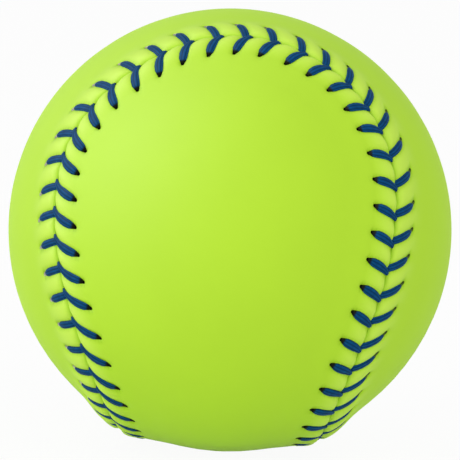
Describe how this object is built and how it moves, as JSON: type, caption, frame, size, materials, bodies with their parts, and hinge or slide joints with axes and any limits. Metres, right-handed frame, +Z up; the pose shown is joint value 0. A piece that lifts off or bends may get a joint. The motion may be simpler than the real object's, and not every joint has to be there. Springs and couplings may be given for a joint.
{
  "type": "softball",
  "caption": "Round ball with a moulded core and two figure-eight leather panels joined by a raised, thread-sewn seam.",
  "frame": {"origin": "centre of the ball", "axes": "+Z up; the front panel's lobes face -Y and +Y with its waist underneath, the side panel's lobes face +X and -X with its waist on top"},
  "size_m": [0.097, 0.097, 0.097],
  "materials": {
    "core": "moulded polyurethane foam with a closed skin",
    "cement": "dried latex cement",
    "cover": "optic yellow leather, smooth and satin with a fine grain",
    "thread": "waxed blue sewing thread"
  },
  "bodies": {
    "root": {"core": "core", "cement_film": "cement", "front_cover_panel": "cover", "side_cover_panel": "cover", "first_needle_thread": "thread", "second_needle_thread": "thread"}
  },
  "joints": []
}
